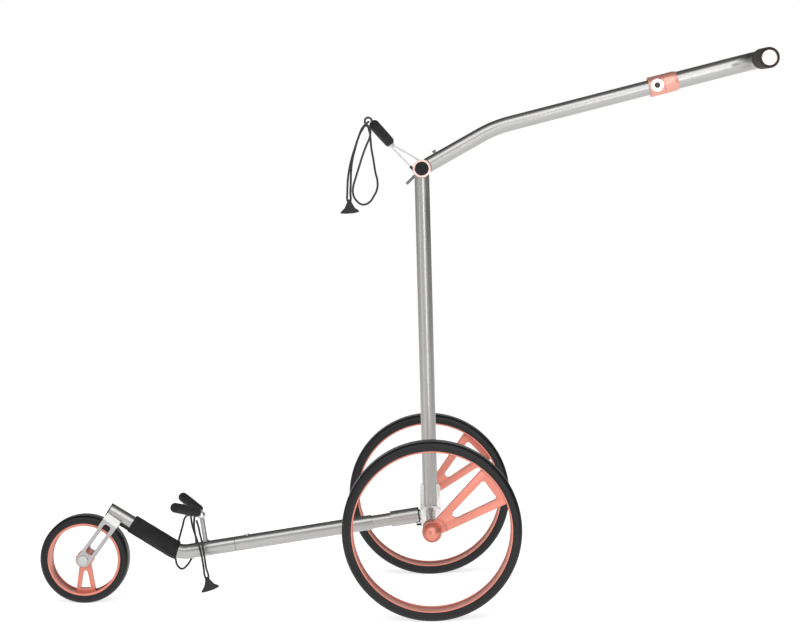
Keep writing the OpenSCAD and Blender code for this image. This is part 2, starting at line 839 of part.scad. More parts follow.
// Closed tube of eight sides swept along a list of points
module cord(route, d) {
  n = len(route);
  ends = concat([2 * route[0] - route[1]], route, [2 * route[n - 1] - route[n - 2]]);
  dirs = [for (i = [1:n]) let (v = ends[i + 1] - ends[i - 1]) v / norm(v)];
  side = [for (i = [0:n - 1]) let (s = cross_of(dirs[i], [0.2, 1, 0.1])) s / norm(s)];
  up = [for (i = [0:n - 1]) cross_of(side[i], dirs[i])];
  points = [for (i = [0:n - 1]) for (k = [0:7])
    route[i] + d / 2 * (cos(45 * k) * side[i] + sin(45 * k) * up[i])];
  walls = [for (i = [0:n - 2]) for (k = [0:7])
    [8 * i + k, 8 * i + (k + 1) % 8, 8 * (i + 1) + (k + 1) % 8, 8 * (i + 1) + k]];
  caps = [[7, 6, 5, 4, 3, 2, 1, 0], [for (k = [0:7]) 8 * (n - 1) + k]];
  polyhedron(points = points, faces = concat(walls, caps), convexity = 10);
}

function cross_of(a, b) =
  [a[1] * b[2] - a[2] * b[1], a[2] * b[0] - a[0] * b[2], a[0] * b[1] - a[1] * b[0]];

// Fan-shaped hook that hangs on the cord's bight
module hook() {
  plate(-3.5, 3.5) polygon([[-3, 1], [3, 1], [4, -4], [9, -13], [16, -18], [15.5, -20.5], [6, -22.5],
    [-6, -23], [-15, -22.5], [-15, -20], [-8, -13], [-4, -4]]);
}

left_tip = [upper_tip[0], -upper_tip[1], upper_tip[2]] + [-8, -7, 4];

module upper_cord() color("#141415") at_joint() cord([for (p = upper_route) p + left_tip], cord_d);
module upper_hook() color("#141415") at_joint() translate(left_tip + [-37, 1.5, -129]) hook();
module lower_cord() color("#141415") lower() cord([for (p = lower_route) [post_x + p[0], p[1], p[2]]], cord_d);
module lower_hook() color("#141415") lower() translate([post_x - 5, -30, -46])
  rotate([0, lower_angle - 14, 0]) hook();

// ---- nodes ----

left_tyre();
left_rim();
left_bearings();
left_hub_ball();
right_tyre();
right_rim();
right_bearings();
right_hub_ball();
front_tyre();
front_rim();
front_bearings();
front_axle_bolt();
front_axle_nut();
fork_leg_left();
fork_leg_right();
fork_saddle();
fork_shim();
front_tube();
front_tube_plug();
foam_sleeve();
cradle_post();
lower_arms();
lower_pads();
lower_cord();
lower_hook();
snap_button();
snap_spring();
lower_tube();
neck_tube();
hub_socket();
socket_ring();
hub_bracket();
spigot();
catch();
catch_pin();
axle_beam();
upright_tube();
joint_cheek_left();
joint_cheek_right();
joint_bolt();
joint_cap();
joint_lever();
joint_nut();
handle_knuckle();
handle_shaft();
stop_stud();
collar();
collar_nut();
collar_button();
grip_tube();
grip_sleeve();
grip_cap();
upper_wires();
wire_ferrules();
stay_ends();
upper_pads();
upper_cord();
upper_hook();
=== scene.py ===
# Three-wheel golf push cart: brushed tube frame, one-armed salmon pink wheels and two bag cradles.
# Metres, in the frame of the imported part: X from the front wheel to the handle, Y across, Z up.
import json
from math import asin, cos, pi, radians, sin, sqrt, tan

import bmesh
import bpy
from mathutils import Matrix, Vector


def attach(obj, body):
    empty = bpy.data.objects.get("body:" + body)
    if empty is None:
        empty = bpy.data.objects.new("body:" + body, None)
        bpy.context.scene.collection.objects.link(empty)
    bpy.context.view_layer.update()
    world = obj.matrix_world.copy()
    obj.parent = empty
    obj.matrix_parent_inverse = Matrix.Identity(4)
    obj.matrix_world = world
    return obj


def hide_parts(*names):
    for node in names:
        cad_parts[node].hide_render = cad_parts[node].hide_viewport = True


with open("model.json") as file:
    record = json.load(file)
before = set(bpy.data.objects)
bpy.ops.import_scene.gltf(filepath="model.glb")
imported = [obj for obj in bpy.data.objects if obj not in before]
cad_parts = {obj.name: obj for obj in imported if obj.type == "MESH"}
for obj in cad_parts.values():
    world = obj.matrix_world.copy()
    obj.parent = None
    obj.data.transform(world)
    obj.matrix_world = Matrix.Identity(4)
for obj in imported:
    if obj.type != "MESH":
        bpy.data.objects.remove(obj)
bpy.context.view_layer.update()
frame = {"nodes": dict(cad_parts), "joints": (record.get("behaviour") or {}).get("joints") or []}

# ---- Studio -------------------------------------------------------------------------------
# A pale square floor and a long-lens camera at axle-to-handle height, off the cart's left side.
# A wide overhead softbox, two side banks and a white room with darker bands for the tube lines.
# The floor ends 8 m from the cart, so its edge is in view from some other directions.
eye = Vector((0.0178, -3.9606, 0.6736))
yaw, pitch, roll = radians(0.323), radians(90 - 2.860), radians(-1.2286)
camera = bpy.data.objects.new("camera", bpy.data.cameras.new("camera"))
bpy.context.scene.collection.objects.link(camera)
camera.data.lens = 103.94
camera.data.sensor_width = 36
camera.data.clip_end = 60
camera.matrix_world = (Matrix.Translation(eye) @ Matrix.Rotation(yaw, 4, "Z")
                       @ Matrix.Rotation(pitch, 4, "X") @ Matrix.Rotation(roll, 4, "Z"))
bpy.context.scene.camera = camera
bpy.context.scene.view_settings.view_transform = "Standard"

floor_reach = 8
floor_shape = bmesh.new()
bmesh.ops.create_grid(floor_shape, x_segments=1, y_segments=1, size=floor_reach)
floor_mesh = bpy.data.meshes.new("studio_floor")
floor_shape.to_mesh(floor_mesh)
studio_floor = bpy.data.objects.new("studio_floor", floor_mesh)
bpy.context.scene.collection.objects.link(studio_floor)
floor_paint = bpy.data.materials.new("floor_paint")
floor_paint.use_nodes = True
floor_shader = floor_paint.node_tree.nodes["Principled BSDF"]
floor_shader.inputs["Base Color"].default_value = (0.93, 0.93, 0.93, 1)
floor_shader.inputs["Roughness"].default_value = 0.9
floor_shader.inputs["Emission Color"].default_value = (1, 1, 1, 1)
floor_shader.inputs["Emission Strength"].default_value = 0.74
studio_floor.data.materials.append(floor_paint)


def softbox(name, at, aim, width, height, watts):
    lamp = bpy.data.lights.new(name, "AREA")
    lamp.shape, lamp.size, lamp.size_y, lamp.energy = "RECTANGLE", width, height, watts
    holder = bpy.data.objects.new(name, lamp)
    holder.location = at
    holder.rotation_euler = (Vector(aim) - Vector(at)).to_track_quat("-Z", "Y").to_euler()
    bpy.context.scene.collection.objects.link(holder)


softbox("overhead_bank", (0, -2.2, 2.8), (0, 0, 0.5), 4.6, 2.0, 48)
softbox("left_bank", (-2.8, -2.2, 1.4), (0, 0, 0.5), 1.2, 2.2, 8)
softbox("right_bank", (1.3, -4.7, 1.3), (0, 0, 0.5), 1.3, 3.0, 36)

room = bpy.data.worlds.new("white_room")
room.use_nodes = True
bpy.context.scene.world = room
air = room.node_tree.nodes
where = air.new("ShaderNodeTexCoord")
split = air.new("ShaderNodeSeparateXYZ")
room.node_tree.links.new(where.outputs["Generated"], split.inputs[0])


def screen(source, *stops):
    """A grey band across the room: (place, tone) stops along one direction."""
    ramp = air.new("ShaderNodeValToRGB")
    room.node_tree.links.new(source, ramp.inputs[0])
    for spot, (at, tone) in zip(list(ramp.color_ramp.elements) + [None] * (len(stops) - 2), stops):
        stop = spot or ramp.color_ramp.elements.new(at)
        stop.position, stop.color = at, (tone, tone, tone, 1)
    return ramp.outputs[0]


def join(kind, one, other):
    """Joins two values by a maths node; MULTIPLY_ADD also adds a half."""
    sum_node = air.new("ShaderNodeMath")
    sum_node.operation = kind
    sum_node.inputs[2].default_value = 0.5
    for socket, value in zip(sum_node.inputs, (one, other)):
        if isinstance(value, (int, float)):
            socket.default_value = value
        else:
            room.node_tree.links.new(value, socket)
    return sum_node.outputs[0]


rise_or_right = join("MAXIMUM", split.outputs["X"], split.outputs["Z"])
behind = screen(rise_or_right, (0.0, 1.0), (0.17, 1.0), (0.26, 0.12), (0.97, 0.18), (1.0, 0.2))
leftward = join("MULTIPLY", split.outputs["X"], -1)
left_wall = screen(leftward, (0.0, 1.0), (0.18, 1.0), (0.30, 0.42), (1.0, 0.5))
back_part = join("MULTIPLY", behind, left_wall)
height_in_room = join("MULTIPLY_ADD", split.outputs["Z"], 0.5)
front_wall = screen(height_in_room, (0.0, 0.5), (0.45, 0.7), (0.6, 0.66), (0.93, 0.5), (1.0, 0.1))
right_wall = screen(split.outputs["X"], (0.0, 1.0), (0.62, 1.0), (0.76, 0.06), (1.0, 0.05))
front_part = join("MULTIPLY", front_wall, right_wall)
side = screen(join("MULTIPLY_ADD", split.outputs["Y"], 0.5), (0.46, 0.0), (0.54, 1.0))
blend_room = air.new("ShaderNodeMix")
blend_room.data_type = "FLOAT"
room.node_tree.links.new(side, blend_room.inputs[0])
room.node_tree.links.new(front_part, blend_room.inputs[2])
room.node_tree.links.new(back_part, blend_room.inputs[3])
room.node_tree.links.new(blend_room.outputs[0], air["Background"].inputs["Color"])
air["Background"].inputs["Strength"].default_value = 1.0

# ---- Where things are ---------------------------------------------------------------------
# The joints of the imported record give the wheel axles, the handle joint and the grip's axis.
# The lower frame and the upper handle are straight lines, so each has its own along and up.
joint_at = {j["name"]: Vector(j["pos_m"]) for j in frame["joints"] if "pos_m" in j}
joint_axis = {j["name"]: Vector(j["axis"]) for j in frame["joints"]}
left_axle, right_axle = joint_at["left_wheel_spin"], joint_at["right_wheel_spin"]
front_axle, top_joint = joint_at["front_wheel_spin"], joint_at["handle_tilt"]
collar_start = joint_at["grip_swivel"]
ground_line = -joint_axis["lower_frame_plug"]
ground_up = Vector((-ground_line.z, 0, ground_line.x))
hub_foot = Vector((left_axle.x, 0, left_axle.z - 0.004))
shaft_line = joint_axis["grip_extension"]


def on_lower(x, y, z):
    return hub_foot + ground_line * x / 1000 + Vector((0, y / 1000, 0)) + ground_up * z / 1000


def on_joint(x, y, z):
    return top_joint + Vector((x, y, z)) / 1000


# ---- Elastic cords ------------------------------------------------------------------------
# Black braided shock cord, 3.6 mm thick. Each cord leaves its cradle arm, hangs in a loop and
# comes back over the pad to a strand that carries a moulded fan-shaped hook.
def link_all(tree, *pairs):
    for source, target in pairs:
        tree.links.new(source, target)


def braid(name):
    stuff = bpy.data.materials.new(name)
    stuff.use_nodes = True
    tree, made = stuff.node_tree, stuff.node_tree.nodes
    shader = made["Principled BSDF"]
    shader.inputs["Roughness"].default_value = 0.75
    shader.inputs["Sheen Weight"].default_value = 0.25
    place = made.new("ShaderNodeTexCoord")
    weave = made.new("ShaderNodeTexVoronoi")
    weave.inputs["Scale"].default_value = 1400
    fuzz = made.new("ShaderNodeTexNoise")
    fuzz.inputs["Scale"].default_value = 300
    shade = made.new("ShaderNodeValToRGB")
    shade.color_ramp.elements[0].color = (0.004, 0.004, 0.005, 1)
    shade.color_ramp.elements[1].color = (0.028, 0.028, 0.03, 1)
    height = made.new("ShaderNodeBump")
    height.inputs["Strength"].default_value = 0.7
    height.inputs["Distance"].default_value = 0.0003
    link_all(tree,
             (place.outputs["Object"], weave.inputs["Vector"]),
             (place.outputs["Object"], fuzz.inputs["Vector"]),
             (fuzz.outputs[0], shade.inputs[0]), (shade.outputs[0], shader.inputs["Base Color"]),
             (weave.outputs["Distance"], height.inputs["Height"]),
             (height.outputs[0], shader.inputs["Normal"]))
    return stuff


cord_braid = braid("cord_braid")
cord_thick = 0.0036


def shock_cord(name, route, stands_for, body):
    line = bpy.data.curves.new(name, "CURVE")
    line.dimensions, line.bevel_depth, line.bevel_resolution = "3D", cord_thick / 2, 5
    line.use_fill_caps, line.resolution_u = True, 8
    spline = line.splines.new("BEZIER")
    spline.bezier_points.add(len(route) - 1)
    for knot, at in zip(spline.bezier_points, route):
        knot.co, knot.handle_left_type, knot.handle_right_type = at, "AUTO", "AUTO"
    line.materials.append(cord_braid)
    piece = bpy.data.objects.new(name, line)
    bpy.context.scene.collection.objects.link(piece)
    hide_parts(stands_for)
    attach(piece, body)
    return piece


left_arm_end = Vector((-86, -77, 78))
upper_steps = [
    (3, -4, 0), (3, -3, 5), (-1, -2, 8), (-6, -2, 7), (-8, -3, 2), (-6, -4, -3), (-1, -6, -7), (1, -8, -14),
    (0, -9, -24), (-7, -7, -40), (-14, -6, -58), (-20, -5, -76), (-26, -5, -94), (-30, -5, -108),
    (-30, -5, -120), (-25, -5, -130), (-15, -5, -137), (-4, -5, -134), (4, -5, -124), (10, -5, -112),
    (11, -5, -98), (8, -5, -84), (5, -4, -62), (2, -3, -43), (1, -1, -29), (-1, 1, -14), (-6, 4, -5),
    (-13, 6, -12), (-20, 6, -26), (-25, 6, -42), (-30, 6, -60), (-33, 6, -80), (-34, 6, -100), (-35, 6, -118),
    (-35, 5, -130), (-37, 2, -135), (-40, -1, -130), (-40, 0, -116), (-39, 1, -98), (-36, 1, -78),
    (-31, 1, -58), (-25, 0, -40), (-18, 0, -21), (-12, 1, -8), (-6, 1, -2), (-1, 0, 2)]
upper_route = [on_joint(*(left_arm_end + Vector(step))) for step in upper_steps]
upper_loop = shock_cord("upper_shock_cord", upper_route, "upper_cord", "chassis")
lower_steps = [
    (-13, 24, 60), (-17, 26, 48), (-19, 26, 34), (-19, 25, 20), (-20, 24, 8), (-25, 23, -6),
    (-34, 22, -19), (-43, 21, -28), (-51, 20, -31), (-57, 20, -25), (-59, 21, -14), (-57, 22, 0),
    (-51, 23, 13), (-45, 24, 27), (-38, 24, 42), (-32, 22, 55), (-25, 14, 60), (-19, 2, 60),
    (-17, -12, 58), (-16, -23, 50), (-14, -28, 36),
    (-11, -29, 20), (-9, -28, 4), (-8, -28, -12), (-8, -28, -28), (-8, -28, -44), (-5, -29, -50),
    (-2, -31, -45), (-3, -33, -30), (-3, -33, -14), (-3, -33, 2), (-3, -33, 16), (-4, -33, 30), (-5, -30, 43),
    (-7, -26, 54)]
post_foot = -391
lower_route = [on_lower(post_foot + x, y, z) for x, y, z in lower_steps]
lower_loop = shock_cord("lower_shock_cord", lower_route, "lower_cord", "lower_frame")


# The hooks are flat moulded fans with a rounded skirt, softened at every edge.
def finish_mesh(name, shape, material, body, stands_for, sharp):
    mesh = bpy.data.meshes.new(name)
    shape.to_mesh(mesh)
    shape.free()
    piece = bpy.data.objects.new(name, mesh)
    bpy.context.scene.collection.objects.link(piece)
    mesh.shade_smooth()
    mesh.set_sharp_from_angle(angle=radians(sharp))
    mesh.materials.append(material)
    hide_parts(*stands_for)
    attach(piece, body)
    return piece


def softened(name, node, material, body, edge=0.4, rows=3):
    """The node's own shape with its seams merged and every sharp edge rounded by edge mm."""
    shape = bmesh.new()
    shape.from_mesh(frame["nodes"][node].data)
    bmesh.ops.remove_doubles(shape, verts=shape.verts, dist=2e-6)
    bmesh.ops.dissolve_limit(shape, angle_limit=radians(0.6), verts=shape.verts, edges=shape.edges)
    piece = finish_mesh(name, shape, material, body, (node,), 40)
    round_off = piece.modifiers.new("edge", "BEVEL")
    round_off.width, round_off.segments, round_off.limit_method = edge / 1000, rows, "ANGLE"
    round_off.angle_limit = radians(32)
    return piece


def moulded(name, dark, light, gloss=0.42, grain=900, depth=0.12):
    """Black moulded plastic: fine spark-eroded grain, with softer and shinier patches."""
    stuff = bpy.data.materials.new(name)
    stuff.use_nodes = True
    tree, made = stuff.node_tree, stuff.node_tree.nodes
    shader = made["Principled BSDF"]
    shader.inputs["Specular IOR Level"].default_value = 0.34
    place = made.new("ShaderNodeTexCoord")
    fine = made.new("ShaderNodeTexNoise")
    fine.inputs["Scale"].default_value, fine.inputs["Detail"].default_value = grain, 4
    broad = made.new("ShaderNodeTexNoise")
    broad.inputs["Scale"].default_value = 35
    tone = made.new("ShaderNodeValToRGB")
    tone.color_ramp.elements[0].position, tone.color_ramp.elements[0].color = 0.3, (*dark, 1)
    tone.color_ramp.elements[1].position, tone.color_ramp.elements[1].color = 0.75, (*light, 1)
    sheen = made.new("ShaderNodeMapRange")
    sheen.inputs["To Min"].default_value, sheen.inputs["To Max"].default_value = gloss - 0.08, gloss + 0.12
    height = made.new("ShaderNodeBump")
    height.inputs["Strength"].default_value, height.inputs["Distance"].default_value = depth, 0.0004
    link_all(tree,
             (place.outputs["Object"], fine.inputs["Vector"]),
             (place.outputs["Object"], broad.inputs["Vector"]),
             (broad.outputs[0], tone.inputs[0]), (tone.outputs[0], shader.inputs["Base Color"]),
             (fine.outputs[0], sheen.inputs["Value"]), (sheen.outputs[0], shader.inputs["Roughness"]),
             (fine.outputs[0], height.inputs["Height"]), (height.outputs[0], shader.inputs["Normal"]))
    return stuff


black_nylon = moulded("black_nylon", (0.006, 0.006, 0.007), (0.02, 0.02, 0.022))
upper_fan = softened("upper_fan_hook", "upper_hook", black_nylon, "chassis", 0.8)
lower_fan = softened("lower_fan_hook", "lower_hook", black_nylon, "lower_frame", 0.8)

# ---- Tyres --------------------------------------------------------------------------------
# Solid foam-rubber tyres stretched on the rims: a crowned tread with one fine groove near each
# shoulder, a rounded shoulder and a bead that sits down over the rim's edge.
tyre_rubber = moulded("tyre_rubber", (0.003, 0.003, 0.004), (0.008, 0.008, 0.009), 0.38, 700, 0.2)


def turned(shape, profile, centre, steps, closed=True):
    """Spins a profile of (across, radius) in mm about the Y axis through centre."""
    corners = [shape.verts.new(centre + Vector((0, y / 1000, r / 1000))) for y, r in profile]
    pairs = list(zip(corners, corners[1:])) + ([(corners[-1], corners[0])] if closed else [])
    rim_line = [shape.edges.new(pair) for pair in pairs]
    bmesh.ops.spin(shape, geom=corners + rim_line, cent=centre, axis=(0, 1, 0), angle=2 * pi, steps=steps,
                   use_merge=True)
    bmesh.ops.remove_doubles(shape, verts=shape.verts, dist=1e-6)
    bmesh.ops.recalc_face_normals(shape, faces=shape.faces)


def tyre_piece(name, node, body, centre, radius, width, depth, bead):
    half = width / 2
    toe = depth + bead
    side = [(half - 3, depth), (half - 0.9, depth), (half - 0.9, toe - 0.4), (half - 0.6, toe),
            (half - 0.2, toe - 0.3), (half, toe - 0.9), (half, 7.5), (half - 0.3, 6.0),
            (half - 1.1, 4.2), (half - 2.4, 2.5), (half - 4.2, 1.2), (half - 6.4, 0.45), (half - 9.0, 0.2),
            (half - 9.3, 0.9), (half - 10.1, 0.9), (half - 10.4, 0.15), (half - 15, 0.03)]
    right = [(y, radius - drop) for y, drop in side]
    shape = bmesh.new()
    turned(shape, right + [(-y, r) for y, r in reversed(right)], centre, 192)
    return finish_mesh(name, shape, tyre_rubber, body, (node,), 60)


rear_r, rear_wide, front_r, front_wide, tyre_depth = 146, 52, 76, 44, 12.5
tyre_piece("left_rear_tyre", "left_tyre", "left_wheel", left_axle, rear_r, rear_wide, tyre_depth, 2.8)
tyre_piece("right_rear_tyre", "right_tyre", "right_wheel", right_axle, rear_r, rear_wide, tyre_depth, 2.8)
tyre_piece("front_small_tyre", "front_tyre", "front_wheel", front_axle, front_r, front_wide, tyre_depth, 1.1)

# ---- Rims ---------------------------------------------------------------------------------
# Each wheel is one aluminium casting, anodised satin salmon pink: a wide thin barrel, a hub boss
# and a single forked arm near the outer face, with a curved rib where the arm leaves the hub.
def anodised(name, colour, rough=0.34):
    stuff = bpy.data.materials.new(name)
    stuff.use_nodes = True
    tree, made = stuff.node_tree, stuff.node_tree.nodes
    shader = made["Principled BSDF"]
    shader.inputs["Metallic"].default_value = 0.62
    place = made.new("ShaderNodeTexCoord")
    blast = made.new("ShaderNodeTexNoise")
    blast.inputs["Scale"].default_value, blast.inputs["Detail"].default_value = 1500, 3
    cloud = made.new("ShaderNodeTexNoise")
    cloud.inputs["Scale"].default_value, cloud.inputs["Detail"].default_value = 18, 3
    tone = made.new("ShaderNodeValToRGB")
    tone.color_ramp.elements[0].position = 0.3
    tone.color_ramp.elements[0].color = (*[c * 0.93 for c in colour], 1)
    tone.color_ramp.elements[1].position = 0.7
    tone.color_ramp.elements[1].color = (*[min(1, c * 1.05) for c in colour], 1)
    sheen = made.new("ShaderNodeMapRange")
    sheen.inputs["To Min"].default_value, sheen.inputs["To Max"].default_value = rough - 0.06, rough + 0.1
    height = made.new("ShaderNodeBump")
    height.inputs["Strength"].default_value, height.inputs["Distance"].default_value = 0.08, 0.0003
    link_all(tree,
             (place.outputs["Object"], blast.inputs["Vector"]),
             (place.outputs["Object"], cloud.inputs["Vector"]),
             (cloud.outputs[0], tone.inputs[0]), (tone.outputs[0], shader.inputs["Base Color"]),
             (blast.outputs[0], sheen.inputs["Value"]), (sheen.outputs[0], shader.inputs["Roughness"]),
             (blast.outputs[0], height.inputs["Height"]), (height.outputs[0], shader.inputs["Normal"]))
    return stuff


salmon_anodised = anodised("salmon_anodised", (0.66, 0.235, 0.175))


def curve_points(x, z, radius, start, end, count):
    return [(x + radius * cos(radians(start + (end - start) * i / count)),
             z + radius * sin(radians(start + (end - start) * i / count))) for i in range(count + 1)]


def pour_into(shape, part):
    """Adds a finished part to the shape, by way of a mesh that is thrown away."""
    scrap = bpy.data.meshes.new("scrap")
    part.to_mesh(scrap)
    part.free()
    shape.from_mesh(scrap)
    bpy.data.meshes.remove(scrap)


def arm_slab(shape, centre, aim, outline, hole, y_low, y_high, edge):
    """A flat arm cut from plate, with its opening, rounded at both faces and turned to aim degrees."""
    plate = bmesh.new()
    for ring in (outline, hole):
        corners = [plate.verts.new((x / 1000, y_low / 1000, z / 1000)) for x, z in ring]
        for a, b in zip(corners, corners[1:] + corners[:1]):
            plate.edges.new((a, b))
    bmesh.ops.triangle_fill(plate, use_beauty=True, use_dissolve=False, edges=plate.edges)
    bmesh.ops.dissolve_limit(plate, angle_limit=radians(1), verts=plate.verts, edges=plate.edges)
    grown = bmesh.ops.extrude_face_region(plate, geom=plate.faces[:], use_keep_orig=True)["geom"]
    bmesh.ops.translate(plate, verts=[v for v in grown if isinstance(v, bmesh.types.BMVert)],
                        vec=(0, (y_high - y_low) / 1000, 0))
    bmesh.ops.recalc_face_normals(plate, faces=plate.faces)
    rounded = [e for e in plate.edges if e.is_manifold and e.calc_face_angle() > radians(60)
               and abs(e.verts[0].co.y - e.verts[1].co.y) < 1e-6]
    bmesh.ops.bevel(plate, geom=rounded, offset=edge / 1000, offset_type="OFFSET", affect="EDGES", segments=3,
                    profile=0.5, material=-1, clamp_overlap=True)
    bmesh.ops.rotate(plate, verts=plate.verts, cent=(0, 0, 0), matrix=Matrix.Rotation(radians(-aim), 3, "Y"))
    bmesh.ops.translate(plate, verts=plate.verts, vec=centre)
    pour_into(shape, plate)


def barrel(shape, centre, radius, width):
    half = width / 2 - 1
    inner = radius - 4
    right = [(half - 0.6, radius), (half, radius - 0.6), (half, inner - 0.7), (half - 0.5, inner - 1.2),
             (half - 2.4, inner - 1.2), (half - 3.4, inner), (half - 9, inner), (half - 10.5, inner + 0.5)]
    turned(shape, right + [(-y, r) for y, r in reversed(right)], centre, 192)


def rear_rim_piece(name, node, body, centre, out, aim):
    """out is -1 on the left side and 1 on the right, the side the arm stands on."""
    shape = bmesh.new()
    barrel(shape, centre, rear_r - tyre_depth, rear_wide)
    foot = curve_points(120.5, 42.5, 9, -30, -90, 5)
    outline = (curve_points(0, 0, 16, 46.1, 313.9, 28) + [(x, -z) for x, z in reversed(foot)]
               + curve_points(0, 0, 130.2, -17.5, 17.5, 10) + foot)
    hole = (curve_points(48, 0, 6, 99.2, 260.8, 10) + curve_points(112.5, -14, 4, 260.8, 360, 6)
            + curve_points(112.5, 14, 4, 0, 99.2, 6))
    faces = sorted((out * 22, out * 10))
    arm_slab(shape, centre, aim, outline, hole, faces[0], faces[1], 1.6)
    boss = [(out * 10.5, 8), (out * 10.5, 14), (out * 9, 15), (-out * 23, 15), (-out * 24, 14),
            (-out * 24, 12.2), (-out * 20, 12.2), (-out * 20, 8)]
    turned(shape, boss, centre, 64)
    spread = 33
    sector = bmesh.new()
    rib = [(out * 21.5, 22.4), (out * 23.0, 22.7), (out * 23.5, 23.3), (out * 23.5, 24.7),
           (out * 23.0, 25.3), (out * 21.5, 25.6)]
    corners = [sector.verts.new((r / 1000, y / 1000, 0)) for y, r in rib]
    lines = [sector.edges.new(pair) for pair in zip(corners, corners[1:] + corners[:1])]
    bmesh.ops.rotate(sector, verts=corners, cent=(0, 0, 0),
                     matrix=Matrix.Rotation(radians(-aim + spread), 3, "Y"))
    bmesh.ops.spin(sector, geom=corners + lines, cent=(0, 0, 0), axis=(0, -1, 0),
                   angle=radians(2 * spread), steps=20)
    bmesh.ops.holes_fill(sector, edges=sector.edges)
    bmesh.ops.recalc_face_normals(sector, faces=sector.faces)
    bmesh.ops.translate(sector, verts=sector.verts, vec=centre)
    pour_into(shape, sector)
    return finish_mesh(name, shape, salmon_anodised, body, (node,), 35)


rear_rim_piece("left_rear_rim", "left_rim", "left_wheel", left_axle, -1, 35)
rear_rim_piece("right_rear_rim", "right_rim", "right_wheel", right_axle, 1, 43)

front_casting = bmesh.new()
barrel(front_casting, front_axle, front_r - tyre_depth, front_wide)
front_foot = curve_points(52.5, 23, 7, -30, -90, 4)
front_outline = (curve_points(0, 0, 14.5, 42, 318, 24) + [(x, -z) for x, z in reversed(front_foot)]
                 + curve_points(0, 0, 60.2, -20, 20, 8) + front_foot)
front_hole = (curve_points(25, 0, 4, 98, 262, 8) + curve_points(50, -7, 1.5, 262, 360, 4)
              + curve_points(50, 7, 1.5, 0, 98, 4))
arm_slab(front_casting, front_axle, -90, front_outline, front_hole, -6, 6, 1.0)
front_boss = [(-24, 11.2), (-24, 13.2), (-23.2, 14), (23.2, 14), (24, 13.2), (24, 11.2), (17, 11.2),
              (17, 6.2), (-17, 6.2), (-17, 11.2)]
turned(front_casting, front_boss, front_axle, 64)
finish_mesh("front_small_rim", front_casting, salmon_anodised, "front_wheel", ("front_rim",), 35)


# Ball-shaped hub caps press on over each rear axle end; they hide the wheel's release.
def ball_cap(name, node, body, centre, out):
    shape = bmesh.new()
    ball_r, ball_y, seat_y = 15.7, 33, 22
    seat_r = sqrt(ball_r ** 2 - (ball_y - seat_y) ** 2)
    seat = [(out * seat_y, 0.001), (out * seat_y, seat_r - 1), (out * seat_y, seat_r)]
    dome = [(out * (ball_y + ball_r * sin(radians(a))), ball_r * cos(radians(a))) for a in range(-42, 90, 3)]
    turned(shape, seat + dome + [(out * (ball_y + ball_r), 0.001)], centre, 96, closed=False)
    return finish_mesh(name, shape, salmon_anodised, body, (node,), 50)


ball_cap("left_ball_cap", "left_hub_ball", "left_wheel", left_axle, -1)
ball_cap("right_ball_cap", "right_hub_ball", "right_wheel", right_axle, 1)

# ---- Brushed tubes ------------------------------------------------------------------------
# Thin-walled stainless tube, 25.4 mm, belt-brushed along its length before it is bent, so the
# fine lines follow each bend. Ends are cut square and deburred, or coped round the joint.
def brushed(name, tone=0.42, rough=0.3, straight_line=None):
    stuff = bpy.data.materials.new(name)
    stuff.use_nodes = True
    tree, made = stuff.node_tree, stuff.node_tree.nodes
    shader = made["Principled BSDF"]
    shader.inputs["Metallic"].default_value = 1
    if straight_line is None:
        place = made.new("ShaderNodeAttribute")
        place.attribute_name = "drawn_straight"
        source = place.outputs["Vector"]
    else:
        place = made.new("ShaderNodeTexCoord")
        turn = made.new("ShaderNodeMapping")
        turn.vector_type = "POINT"
        turn.inputs["Rotation"].default_value = straight_line
        tree.links.new(place.outputs["Object"], turn.inputs["Vector"])
        source = turn.outputs[0]
    squeeze = made.new("ShaderNodeMapping")
    squeeze.inputs["Scale"].default_value = (14, 1500, 1500)
    lines = made.new("ShaderNodeTexNoise")
    lines.inputs["Scale"].default_value, lines.inputs["Detail"].default_value = 1.0, 5
    smudge = made.new("ShaderNodeTexNoise")
    smudge.inputs["Scale"].default_value, smudge.inputs["Detail"].default_value = 22, 2
    shade = made.new("ShaderNodeValToRGB")
    shade.color_ramp.elements[0].position = 0.25
    shade.color_ramp.elements[0].color = (tone * 0.86, tone * 0.855, tone * 0.84, 1)
    shade.color_ramp.elements[1].position = 0.75
    shade.color_ramp.elements[1].color = (tone * 1.08, tone * 1.075, tone * 1.06, 1)
    sheen = made.new("ShaderNodeMapRange")
    sheen.inputs["To Min"].default_value, sheen.inputs["To Max"].default_value = rough - 0.06, rough + 0.08
    height = made.new("ShaderNodeBump")
    height.inputs["Strength"].default_value, height.inputs["Distance"].default_value = 0.06, 0.0002
    link_all(tree,
             (source, squeeze.inputs["Vector"]), (squeeze.outputs[0], lines.inputs["Vector"]),
             (source, smudge.inputs["Vector"]), (lines.outputs[0], shade.inputs[0]),
             (shade.outputs[0], shader.inputs["Base Color"]), (smudge.outputs[0], sheen.inputs["Value"]),
             (sheen.outputs[0], shader.inputs["Roughness"]), (lines.outputs[0], height.inputs["Height"]),
             (height.outputs[0], shader.inputs["Normal"]))
    return stuff


frame_brushed = brushed("frame_brushed")


def bent_line(start, corner, finish, radius, steps=28):
    """Stations (point, direction) along two straight legs joined by a drawn bend."""
    first, second = (corner - start).normalized(), (finish - corner).normalized()
    turn = first.angle(second)
    axis = first.cross(second).normalized()
    enter = corner - first * radius * tan(turn / 2)
    hub = enter + axis.cross(first) * radius
    stations = [(start, first)]
    for i in range(steps + 1):
        swing = Matrix.Rotation(turn * i / steps, 3, axis)
        stations.append((hub + swing @ (enter - hub), swing @ first))
    return stations + [(finish, second)]


